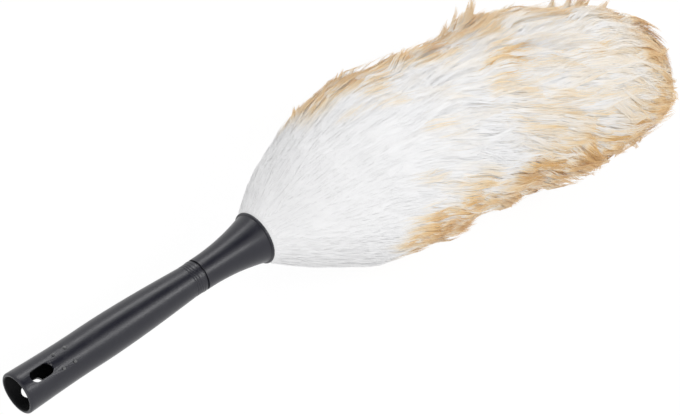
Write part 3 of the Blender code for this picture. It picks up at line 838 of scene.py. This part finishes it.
def make_tuft_guide(chart):
    """One small round patch for each pointed tuft, whose strands all lean in over the patch's middle."""
    points, faces = [], []
    fields = {label: [] for label in ("reach", "lift", "freedom", "room", "stain", "gathered")}
    fields.update({label: [] for label in ("flow", "outward", "centre")})
    columns = np.degrees(chart["phi"][0])
    for x_mm, psi, turn, reach, lift, half_width, stain in TUFTS:
        psi_off = (columns - math.degrees(TOP_ANGLE) - psi + 180.0) % 360.0 - 180.0
        column = int(np.argmin(np.abs(psi_off)))
        row = int(np.argmin(np.abs(chart["roots"][:, column, 0] - x_mm * MM)))
        centre, outward = chart["roots"][row, column], chart["outward"][row, column]
        along = chart["along"][row, column]
        across = np.cross(along, outward)
        flow = along * math.cos(math.radians(turn)) + across * math.sin(math.radians(turn))
        first = len(points)
        for step in range(TUFT_SIDES):
            angle = math.tau * step / TUFT_SIDES
            spoke = along * math.cos(angle) + across * math.sin(angle)
            points.append(centre + spoke * half_width * MM)
        faces.append(tuple(range(first, first + TUFT_SIDES)))
        values = (reach * MM, math.radians(lift), TUFT_FREEDOM, TUFT_ROOM, stain, 1.0, flow, outward, centre)
        for label, value in zip(fields, values):
            fields[label] += [value] * TUFT_SIDES
    mesh = bpy.data.meshes.new("tuft_guide")
    mesh.from_pydata([tuple(point) for point in points], [], faces)
    for label, values in fields.items():
        is_vector = label in ("flow", "outward", "centre")
        kind, key = ("FLOAT_VECTOR", "vector") if is_vector else ("FLOAT", "value")
        mesh.attributes.new(label, kind, "POINT").data.foreach_set(key, np.ravel(values))
    guide = bpy.data.objects.new("tuft_guide", mesh)
    bpy.context.collection.objects.link(guide)
    return guide


def named(tree, label, kind="FLOAT"):
    """What is stored on each point under a name."""
    return place(tree, "GeometryNodeInputNamedAttribute", {"Name": label}, data_type=kind).outputs[0]


def named_vector(tree, label):
    """A place or direction that is stored on each point."""
    return named(tree, label, "FLOAT_VECTOR")


def keep(tree, geometry, label, value, kind="FLOAT"):
    """The geometry with a value stored on its points."""
    wired = {"Geometry": geometry, "Name": label, "Value": value}
    return place(tree, "GeometryNodeStoreNamedAttribute", wired, data_type=kind, domain="POINT").outputs[0]


def scattered(tree, guide, density, seed):
    """Random points on the faces of a guide."""
    wired = {"Mesh": guide, "Density": density, "Seed": seed}
    kind = "GeometryNodeDistributePointsOnFaces"
    return place(tree, kind, wired, distribute_method="RANDOM").outputs["Points"]


def nearest_of(tree, points, where, value, kind="FLOAT"):
    """The value that the point nearest to a place has."""
    wired = {"Geometry": points, "Sample Position": where}
    found = place(tree, "GeometryNodeSampleNearest", wired, domain="POINT").outputs["Index"]
    wired = {"Geometry": points, "Value": value, "Index": found}
    return place(tree, "GeometryNodeSampleIndex", wired, data_type=kind, domain="POINT").outputs[0]


def random_number(tree, low, high, seed):
    """A random number of each point's own."""
    wired = {2: low, 3: high, "Seed": seed}
    return place(tree, "FunctionNodeRandomValue", wired, data_type="FLOAT").outputs[1]


def loose(tree, low, high, seed):
    """A random number that is smaller where the wool is held close."""
    return reckon(tree, "MULTIPLY", random_number(tree, low, high, seed), named(tree, "freedom"))


def smooth_mask(tree, value, low, high):
    """0 below low, 1 above high, and a soft step between, as a node."""
    wired = {"Value": value, "From Min": low, "From Max": high}
    return place(tree, "ShaderNodeMapRange", wired, interpolation_type="SMOOTHSTEP").outputs[0]


def lay_locks(tree, given):
    """Points of the locks. Each takes its tuft's traits and adds a little, and a few of them stray."""
    position = place(tree, "GeometryNodeInputPosition").outputs[0]
    whole = place(tree, "GeometryNodeObjectInfo", {"Object": given.outputs["Whole"]}).outputs["Geometry"]
    tufts = scattered(tree, whole, given.outputs["Tuft Density"], TUFT_SCATTER_SEED)
    locks = scattered(tree, whole, given.outputs["Lock Density"], LOCK_SCATTER_SEED)
    for traits, draw in ((LOOSE_TRAITS, loose), (FREE_TRAITS, random_number)):
        for label, of_tuft, of_lock in traits:
            from_tuft = nearest_of(tree, tufts, position, draw(tree, *of_tuft))
            both = reckon(tree, "ADD", from_tuft, draw(tree, *of_lock))
            locks = keep(tree, locks, "lock_" + label, both)
    rare = reckon(tree, "POWER", random_number(tree, *STRAY_DRAW), STRAY_RARITY)
    stray = reckon(tree, "MULTIPLY", rare, named(tree, "freedom"))
    for label, amount in (("lock_room", STRAY_ROOM), ("lock_rise", STRAY_RISE), ("lock_curl", -STRAY_CURL)):
        locks = keep(tree, locks, label, reckon(tree, "MULTIPLY_ADD", stray, amount, named(tree, label)))
    tuft_place = nearest_of(tree, tufts, position, position, "FLOAT_VECTOR")
    to_own = steer(tree, "SUBTRACT", named_vector(tree, "centre"), tuft_place)
    tuft_place = steer(tree, "ADD", tuft_place, stretch(tree, to_own, named(tree, "gathered")))
    to_tuft = steer(tree, "SUBTRACT", tuft_place, position)
    return keep(tree, locks, "lock_tuft", to_tuft, "FLOAT_VECTOR")


def lay_strands(tree, locks, given):
    """Roots of the strands. Each takes what its nearest lock has, and adds a little of its own."""
    position = place(tree, "GeometryNodeInputPosition").outputs[0]
    guide, density, seed = (given.outputs[label] for label in ("Guide", "Strand Density", "Seed"))
    strands = scattered(tree, guide, density, seed)
    strands = keep(tree, strands, "root", position, "FLOAT_VECTOR")
    for label in ("lock_turn", "lock_rise", "lock_room", "lock_length", "lock_curl", "lock_tone"):
        strands = keep(tree, strands, label, nearest_of(tree, locks, position, named(tree, label)))
    for label, source in (("lock_tuft", "lock_tuft"), ("lock_flow", "flow")):
        value = nearest_of(tree, locks, position, named_vector(tree, source), "FLOAT_VECTOR")
        strands = keep(tree, strands, label, value, "FLOAT_VECTOR")
    lock_place = nearest_of(tree, locks, position, position, "FLOAT_VECTOR")
    to_lock = steer(tree, "SUBTRACT", lock_place, position)
    strands = keep(tree, strands, "to_lock", to_lock, "FLOAT_VECTOR")
    strands = keep(tree, strands, "own_length", random_number(tree, *STRAND_LENGTH))
    strands = keep(tree, strands, "own_turn", loose(tree, *STRAND_TURN))
    strands = keep(tree, strands, "own_rise", loose(tree, *STRAND_RISE))
    shade = reckon(tree, "SUBTRACT", 1.0, loose(tree, *STRAND_SHADE))
    return keep(tree, strands, "shade", shade)


def stand_stems(tree, strands, given):
    """One straight strand on every root, still without shape."""
    line = place(tree, "GeometryNodeCurvePrimitiveLine", {"End": (0.0, 0.0, MM)}).outputs[0]
    wired = {"Curve": line, "Count": given.outputs["Strand Points"]}
    stem = place(tree, "GeometryNodeResampleCurve", wired).outputs[0]
    copies = place(tree, "GeometryNodeInstanceOnPoints", {"Points": strands, "Instance": stem}).outputs[0]
    return place(tree, "GeometryNodeRealizeInstances", {"Geometry": copies}).outputs[0]


def comb_strand(tree, t, outward, given):
    """Places along a strand: out of its root, over along the comb, and in towards its lock and its tuft."""
    turn = reckon(tree, "ADD", named(tree, "lock_turn"), named(tree, "own_turn"))
    wired = {"Vector": named_vector(tree, "lock_flow"), "Axis": outward, "Angle": turn}
    flow = place(tree, "ShaderNodeVectorRotate", wired, rotation_type="AXIS_ANGLE").outputs[0]
    angle = reckon(tree, "ADD", named(tree, "lock_rise"), named(tree, "own_rise"))
    angle = reckon(tree, "ADD", angle, named(tree, "lift"))
    reach = named(tree, "reach")
    length = reckon(tree, "MULTIPLY_ADD", reach, named(tree, "lock_length"), reach)
    length = reckon(tree, "MULTIPLY", length, named(tree, "own_length"))
    forward = reckon(tree, "MULTIPLY", reckon(tree, "COSINE", angle), t)
    curl = named(tree, "lock_curl")
    rise = reckon(tree, "SUBTRACT", reckon(tree, "ADD", curl, 1.0), reckon(tree, "MULTIPLY", curl, t))
    rise = reckon(tree, "MULTIPLY", reckon(tree, "MULTIPLY", rise, t), reckon(tree, "SINE", angle))
    grown = steer(tree, "ADD", stretch(tree, flow, forward), stretch(tree, outward, rise))
    spot = steer(tree, "ADD", named_vector(tree, "root"), stretch(tree, grown, length))
    share = reckon(tree, "MULTIPLY", reckon(tree, "POWER", t, LOCK_CLOSING), given.outputs["Lock Gather"])
    spot = steer(tree, "ADD", spot, stretch(tree, named_vector(tree, "to_lock"), share))
    share = reckon(tree, "MULTIPLY", reckon(tree, "POWER", t, TUFT_CLOSING), given.outputs["Tuft Gather"])
    loose_or_own = reckon(tree, "MAXIMUM", named(tree, "freedom"), named(tree, "gathered"))
    share = reckon(tree, "MULTIPLY", share, loose_or_own)
    spot = steer(tree, "ADD", spot, stretch(tree, named_vector(tree, "lock_tuft"), share))
    wired = {"Vector": spot, "Scale": WAVE_SCALE, "Detail": 1.0}
    wave = place(tree, "ShaderNodeTexNoise", wired).outputs["Color"]
    wave = steer(tree, "SUBTRACT", wave, (0.5, 0.5, 0.5))
    swing = reckon(tree, "MULTIPLY", reckon(tree, "MULTIPLY", t, length), WAVE_SWING)
    return steer(tree, "ADD", spot, stretch(tree, wave, swing))


def hold_in(tree, spot, outward, given):
    """Places held in by the outline, with a little room for each lock to stand out, and up by the floor."""
    skin = place(tree, "GeometryNodeObjectInfo", {"Object": given.outputs["Skin"]}).outputs["Geometry"]
    wired = {"Geometry": skin, "Sample Position": spot}
    near = place(tree, "GeometryNodeProximity", wired).outputs["Position"]
    off = steer(tree, "SUBTRACT", spot, near)
    side = reckon(tree, "SIGN", steer(tree, "DOT_PRODUCT", off, outward))
    past = reckon(tree, "MULTIPLY", steer(tree, "LENGTH", off), side)
    room = reckon(tree, "ADD", named(tree, "room"), named(tree, "lock_room"))
    excess = reckon(tree, "MAXIMUM", reckon(tree, "SUBTRACT", past, room), 0.0)
    pull = reckon(tree, "MULTIPLY", excess, -HOLD)
    toward = stretch(tree, steer(tree, "NORMALIZE", off), side)
    held = steer(tree, "ADD", spot, stretch(tree, toward, pull))
    wired = {"X": FAR_BELOW, "Y": FAR_BELOW, "Z": given.outputs["Rest Height"]}
    lowest = place(tree, "ShaderNodeCombineXYZ", wired).outputs[0]
    return steer(tree, "MAXIMUM", held, lowest)


def stain_strands(tree, strands, t):
    """Strands whose stain comes in towards the tip."""
    tone = reckon(tree, "MULTIPLY", named(tree, "lock_tone"), TONE_SHARE)
    tone = reckon(tree, "ADD", named(tree, "stain"), tone)
    tone = reckon(tree, "MULTIPLY", tone, smooth_mask(tree, named(tree, "stain"), 0.0, LEAST_STAIN))
    blush = smooth_mask(tree, t, BLUSH_FROM, BLUSH_FULL)
    return keep(tree, strands, "stain", reckon(tree, "MULTIPLY", tone, blush, clamp=True))


def tubes_round(tree, strands, t, outward, given):
    """A flat tapering tube round each strand, rid of what only served to comb it."""
    taper = reckon(tree, "POWER", reckon(tree, "SUBTRACT", TAPER_END, t), TAPER_POWER)
    taper = reckon(tree, "MULTIPLY", taper, given.outputs["Strand Radius"])
    wired = {"Curve": strands, "Normal": outward}
    strands = place(tree, "GeometryNodeSetCurveNormal", wired, mode="FREE").outputs[0]
    section = place(tree, "GeometryNodeCurvePrimitiveCircle", {"Resolution": 3, "Radius": 1.0}).outputs[0]
    flat = (STRAND_FLATNESS, 1.0, 1.0)
    section = place(tree, "GeometryNodeTransform", {"Geometry": section, "Scale": flat}).outputs[0]
    wired = {"Curve": strands, "Profile Curve": section, "Scale": taper, "Fill Caps": True}
    tubes = place(tree, "GeometryNodeCurveToMesh", wired).outputs[0]
    for label in HELPERS:
        mode = "WILDCARD" if "*" in label else "EXACT"
        wired = {"Geometry": tubes, "Name": label}
        tubes = place(tree, "GeometryNodeRemoveAttribute", wired, pattern_mode=mode).outputs[0]
    return place(tree, "GeometryNodeSetShadeSmooth", {"Geometry": tubes, "Shade Smooth": True}).outputs[0]


def make_lock_tree():
    """Geometry Nodes tree that grows strands on a guide, gathers them in locks and tufts, and combs them."""
    tree, given, result = new_group(
        "combed_locks",
        "GeometryNodeTree",
        [
            ("Guide", "NodeSocketGeometry", None),
            ("Whole", "NodeSocketObject", None),
            ("Skin", "NodeSocketObject", None),
            ("Strand Density", "NodeSocketFloat", 1000.0),
            ("Lock Density", "NodeSocketFloat", 100.0),
            ("Tuft Density", "NodeSocketFloat", 10.0),
            ("Strand Radius", "NodeSocketFloat", 0.0005),
            ("Strand Points", "NodeSocketInt", 5),
            ("Lock Gather", "NodeSocketFloat", 0.8),
            ("Tuft Gather", "NodeSocketFloat", 0.4),
            ("Rest Height", "NodeSocketFloat", -1.0),
            ("Seed", "NodeSocketInt", 1),
            ("Finish", "NodeSocketMaterial", None),
        ],
        [("Locks", "NodeSocketGeometry")],
    )
    strands = lay_strands(tree, lay_locks(tree, given), given)
    stems = stand_stems(tree, strands, given)
    t = place(tree, "GeometryNodeSplineParameter").outputs["Factor"]
    outward = named_vector(tree, "outward")
    spot = hold_in(tree, comb_strand(tree, t, outward, given), outward, given)
    combed = place(tree, "GeometryNodeSetPosition", {"Geometry": stems, "Position": spot}).outputs[0]
    shown = tubes_round(tree, stain_strands(tree, combed, t), t, outward, given)
    wired = {"Geometry": shown, "Material": given.outputs["Finish"]}
    shown = place(tree, "GeometryNodeSetMaterial", wired).outputs[0]
    grown = place(tree, "GeometryNodeRealizeInstances", {"Geometry": shown}).outputs[0]
    tree.links.new(grown, result.inputs["Locks"])
    return tree


def soften_normals(piece):
    """Turns the outer side of each strand's shading towards the head's own surface, for one soft mass."""
    mesh = piece.data
    outward = np.zeros(len(mesh.vertices) * 3)
    mesh.attributes["outward"].data.foreach_get("vector", outward)
    own = np.zeros(len(mesh.polygons) * 3, np.float32)
    mesh.polygon_normals.foreach_get("vector", own)
    corners = np.zeros(len(mesh.loops), np.int32)
    mesh.loops.foreach_get("vertex_index", corners)
    sides = np.zeros(len(mesh.polygons), np.int32)
    mesh.polygons.foreach_get("loop_total", sides)
    own = np.repeat(own.reshape(-1, 3), sides, axis=0)
    outward = outward.reshape(-1, 3)[corners]
    mixed = unit(NORMAL_SOFTNESS * outward + (1.0 - NORMAL_SOFTNESS) * own)
    outer = (own * outward).sum(axis=1) > OUTER_SIDE
    mesh.normals_split_custom_set(np.where(outer[:, None], mixed, own).tolist())
    mesh.attributes.remove(mesh.attributes["outward"])


def grown_mesh(source, tree, name, **values):
    """The plain mesh that a Geometry Nodes tree makes on an object."""
    change = source.modifiers.new("grow", "NODES")
    change.node_group = tree
    for item in tree.interface.items_tree:
        label = item.name.replace(" ", "_").lower()
        if item.in_out == "INPUT" and label in values:
            change[item.identifier] = values[label]
    source.update_tag()
    bpy.context.view_layer.update()
    evaluated = source.evaluated_get(bpy.context.evaluated_depsgraph_get())
    mesh = bpy.data.meshes.new_from_object(evaluated)
    mesh.name = name
    made = bpy.data.objects.new(name, mesh)
    bpy.context.collection.objects.link(made)
    bpy.data.objects.remove(source)
    return made


def make_undercoat(chart, finish):
    """The dense wool under the locks, closed at the neck and at the tip."""
    roots = chart["roots"]
    tucked = roots[0].copy()
    tucked[:, 0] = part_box("flared_neck")[1].x - UNDERCOAT_TUCK
    tucked[:, 1:] *= UNDERCOAT_NECK
    rings = [tucked, *roots]
    points = np.concatenate(rings)
    faces = grid_faces(len(rings), CHART_COLUMNS)
    faces.append(tuple(range(CHART_COLUMNS)))
    last = (len(rings) - 1) * CHART_COLUMNS
    faces.append(tuple(range(last + CHART_COLUMNS - 1, last - 1, -1)))
    return object_from("wool_undercoat", points.tolist(), faces, finish)


def zone_areas(chart):
    """Area of the chart up to each row, for zones that hold about as many strands as each other."""
    roots = chart["roots"]
    step = np.linalg.norm(np.diff(roots, axis=0), axis=2)
    girth = np.linalg.norm(np.roll(roots, -1, axis=1) - roots, axis=2)
    bands = (step * (girth[1:] + girth[:-1]) / 2).sum(axis=1)
    return np.concatenate([[0.0], np.cumsum(bands)])


def make_wool(frame, finishes):
    """The undercoat, the locks in zones along the head, and the pointed tufts, each a piece."""
    chart = make_chart(frame)
    comb_chart(chart)
    skin_points, skin_faces = merged_mesh(frame["nodes"]["fleece"])
    skin = object_from("outline", skin_points.tolist(), skin_faces.tolist(), finishes["undercoat"])
    pieces = [make_undercoat(chart, finishes["undercoat"])]
    tree = make_lock_tree()
    shrink = 1.0
    whole = make_guide(chart, "whole_guide", 0, CHART_ROWS - 1)
    shared = {
        "skin": skin,
        "strand_radius": STRAND_RADIUS / shrink**0.5,
        "tuft_density": TUFT_DENSITY,
        "rest_height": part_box("fleece")[0].z,
        "finish": finishes["wool"],
    }
    area = zone_areas(chart)
    bounds = np.interp(np.arange(LOCK_ZONES + 1) / LOCK_ZONES, area / area[-1], np.arange(CHART_ROWS))
    bounds = np.round(bounds).astype(int)
    for zone in range(LOCK_ZONES):
        guide = make_guide(chart, f"guide_{zone}", bounds[zone], bounds[zone + 1])
        reach = chart["reach"][bounds[zone]].mean()
        locks = grown_mesh(
            guide,
            tree,
            f"wool_locks_{zone + 1}",
            whole=whole,
            strand_density=STRAND_DENSITY * shrink,
            lock_density=LOCK_DENSITY,
            strand_points=STRAND_POINTS if reach > SHORT_WOOL else STRAND_POINTS - 1,
            lock_gather=LOCK_GATHER,
            tuft_gather=TUFT_GATHER,
            seed=FIRST_ZONE_SEED + zone,
            **shared,
        )
        pieces.append(locks)
    patches = make_tuft_guide(chart)
    tufts = grown_mesh(
        make_tuft_guide(chart),
        tree,
        "wool_tufts",
        whole=patches,
        strand_density=TUFT_STRANDS * shrink,
        lock_density=TUFT_LOCKS,
        strand_points=STRAND_POINTS,
        lock_gather=TUFT_LOCK_GATHER,
        tuft_gather=TUFT_POINTING,
        seed=TUFT_SEED,
        **shared,
    )
    pieces.append(tufts)
    for piece in pieces[1:]:
        soften_normals(piece)
    for helper in (skin, whole, patches):
        bpy.data.objects.remove(helper)
    return pieces


# Camera, light and floor


def make_camera():
    """The camera of the photograph."""
    data = bpy.data.cameras.new("camera")
    data.lens = CAMERA_LENS
    data.sensor_width = CAMERA_SENSOR
    data.sensor_fit = "HORIZONTAL"
    data.clip_start, data.clip_end = 0.1, 50.0
    camera = bpy.data.objects.new("camera", data)
    bpy.context.collection.objects.link(camera)
    back = CAMERA_RIGHT.cross(CAMERA_UP)
    turn = Matrix((CAMERA_RIGHT, CAMERA_UP, back)).transposed()
    camera.matrix_world = Matrix.Translation(CAMERA_PLACE) @ turn.to_4x4()
    bpy.context.scene.camera = camera


def seen_directly(tree):
    """1 for rays that come from the camera, a mirror or glass, which see the plain background."""
    path = place(tree, "ShaderNodeLightPath")
    rays = [path.outputs[label] for label in ("Is Camera Ray", "Is Glossy Ray", "Is Transmission Ray")]
    return reckon(tree, "MAXIMUM", reckon(tree, "MAXIMUM", rays[0], rays[1]), rays[2])


def make_world():
    """An even soft light, and a white background where it is seen directly."""
    world = bpy.data.worlds.new("studio")
    bpy.context.scene.world = world
    world.use_nodes = True
    tree = world.node_tree
    background = tree.nodes["Background"]
    background.inputs["Color"].default_value = (1.0, 1.0, 1.0, 1.0)
    level = place(
        tree, "ShaderNodeMapRange", {"Value": seen_directly(tree), "To Min": WORLD_LEVEL, "To Max": 1.0}
    )
    tree.links.new(level.outputs[0], background.inputs["Strength"])


def make_floor(height):
    """A plain pale floor that keeps the object's shadow."""
    half = FLOOR_SIZE / 2
    corners = [(x * half, y * half, height) for x, y in ((-1, -1), (1, -1), (1, 1), (-1, 1))]
    made, tree, shader = new_material("pale_floor")
    shader.inputs["Base Color"].default_value = (*FLOOR_COLOUR, 1.0)
    shader.inputs["Roughness"].default_value = 0.9
    shader.inputs["Specular IOR Level"].default_value = 0.0
    white = place(tree, "ShaderNodeEmission", {"Strength": FLOOR_GLOW})
    amount = reckon(tree, "MULTIPLY", seen_directly(tree), FLOOR_WHITE)
    mixed = place(tree, "ShaderNodeMixShader", {0: amount, 1: shader.outputs[0], 2: white.outputs[0]})
    tree.links.new(mixed.outputs[0], tree.nodes["Material Output"].inputs["Surface"])
    floor = object_from("floor", corners, [(0, 1, 2, 3)], made)


def facing(direction, distance, target):
    """Place of something that faces the target from a direction, with its long side along the handle."""
    direction = Vector(direction).normalized()
    up = direction.cross(Vector((1.0, 0.0, 0.0))).normalized()
    turn = Matrix((up.cross(direction), up, direction)).transposed().to_4x4()
    return Matrix.Translation(Vector(target) + direction * distance) @ turn


def make_lamp(name, direction, distance, size, power, target, in_gloss=True):
    """A rectangular lamp turned to its target, which gloss sees or doesn't."""
    data = bpy.data.lights.new(name, "AREA")
    data.shape = "RECTANGLE"
    data.size, data.size_y = size
    data.energy = power
    lamp = bpy.data.objects.new(name, data)
    bpy.context.collection.objects.link(lamp)
    lamp.matrix_world = facing(direction, distance, target)
    lamp.visible_glossy = in_gloss


def make_dark_card(direction, distance, size, target):
    """A black card beside the camera that draws the dark line along the plastic. Only gloss sees it."""
    made, _, shader = new_material("dark_card")
    shader.inputs["Base Color"].default_value = (0.0, 0.0, 0.0, 1.0)
    shader.inputs["Specular IOR Level"].default_value = 0.0
    x, y = size[0] / 2, size[1] / 2
    turn = facing(direction, distance, target)
    corners = [turn @ Vector(corner) for corner in ((-x, -y, 0), (x, -y, 0), (x, y, 0), (-x, y, 0))]
    card = object_from("dark_card", [tuple(corner) for corner in corners], [(0, 1, 2, 3)], made)
    card.visible_camera = card.visible_diffuse = card.visible_shadow = card.visible_transmission = False


def make_lights():
    """The lamps, each by its direction from its target, distance, size and power, and the dark card."""
    make_lamp("key", (-0.35, 0.35, 0.9), 1.9, (1.6, 1.2), 0.5, HEAD_MIDDLE)
    make_lamp("fill", (-0.85, -0.35, 0.45), 1.9, (1.4, 1.4), 6.8, HEAD_MIDDLE)
    make_lamp("low_fill", (-0.45, -0.85, 0.05), 1.6, (1.2, 0.5), 2.6, HEAD_MIDDLE, in_gloss=False)
    make_lamp("upper_strip", (0.494, 0.708, 0.504), 1.3, (1.1, 0.36), 4.6, HANDLE_MIDDLE)
    make_lamp("lower_strip", (0.494, -0.346, 0.798), 1.3, (1.1, 0.30), 5.2, HANDLE_MIDDLE)
    make_dark_card((0.494, 0.248, 0.834), 1.3, (2.6, 0.66), HANDLE_MIDDLE)


def main():
    """Clears the scene, loads the frame, sets the stage, and dresses each piece of the duster."""
    for old in list(bpy.data.objects):
        bpy.data.objects.remove(old)
    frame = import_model()
    make_camera()
    make_world()
    make_lights()
    make_floor(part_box("fleece")[0].z)

    finishes = make_finishes()
    grip = turned_finer(frame["nodes"]["grip_tube"], "handle_moulding", finishes["black"])
    shade_the_bore(grip, finishes["bore"])
    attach(grip, "grip")
    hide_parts("grip_tube")
    for pip in make_pips(frame["nodes"]["grip_tube"], finishes["pips"]):
        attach(pip, "grip")
        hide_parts("grip_tube")
    neck = turned_finer(frame["nodes"]["flared_neck"], "neck_moulding", finishes["black"])
    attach(neck, "head")
    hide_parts("flared_neck")
    for node, finish in (
        ("core_rod", "rod"),
        ("core_screw", "steel"),
        ("core_washer", "steel"),
        ("base_tack", "steel"),
        ("tip_tack", "steel"),
    ):
        solid = frame["nodes"][node]
        solid.data.materials.clear()
        solid.data.materials.append(finishes[finish])
    strip = turned_finer(frame["nodes"]["hide_strip"], "wound_hide", finishes["hide"], leans=True)
    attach(strip, "head")
    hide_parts("hide_strip")
    for piece in make_wool(frame, finishes):
        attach(piece, "head")
        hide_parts("fleece")

    scene = bpy.context.scene
    scene.view_settings.view_transform = "Standard"


main()
